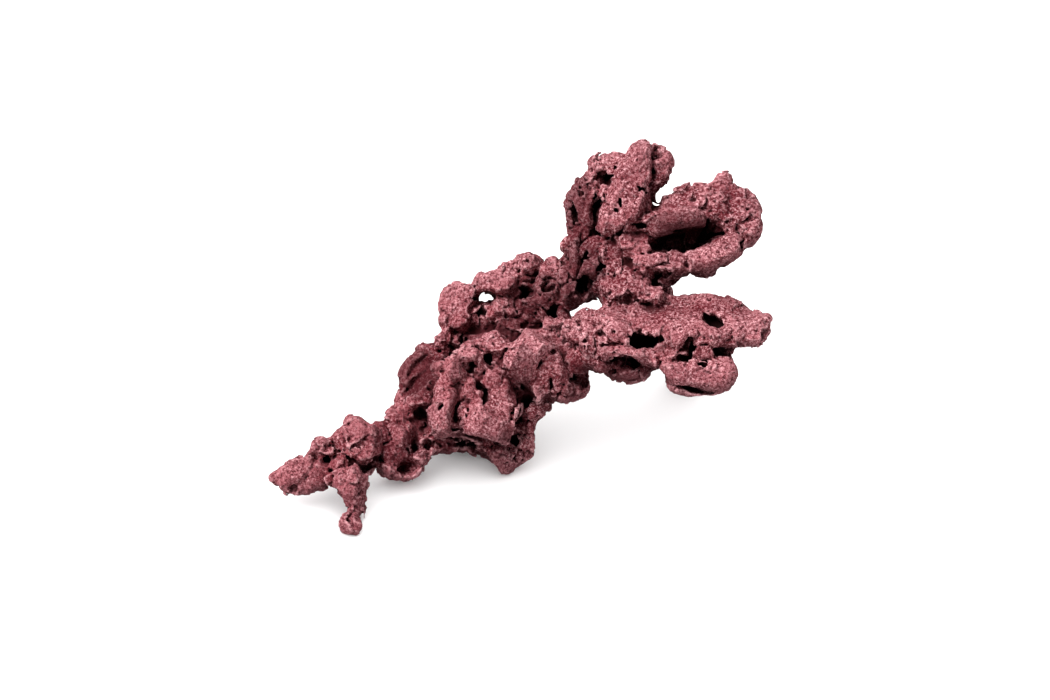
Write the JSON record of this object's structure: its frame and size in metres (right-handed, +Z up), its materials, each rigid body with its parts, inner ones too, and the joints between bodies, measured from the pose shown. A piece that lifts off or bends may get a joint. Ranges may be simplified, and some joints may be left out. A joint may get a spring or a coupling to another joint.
{
  "type": "branching reef rock",
  "caption": "Leaning branch of dry, coralline-crusted reef rock with caved lobes, a flat shelf and worn feet to stand on.",
  "frame": {"origin": "centre of the footprint's box, on the plane the rock rests on", "axes": "+X along the rock, from the low tail to the shelf's end; +Y from the front foot to the rear foot; +Z up"},
  "size_m": [0.397, 0.2488, 0.2252],
  "materials": {
    "crust": "matte, grainy"
  },
  "bodies": {
    "root": {"trunk": "crust", "tail": "crust", "front_leg": "crust", "ridge": "crust", "left_crest": "crust", "right_crest": "crust", "shelf": "crust", "rear_leg": "crust"}
  },
  "joints": []
}
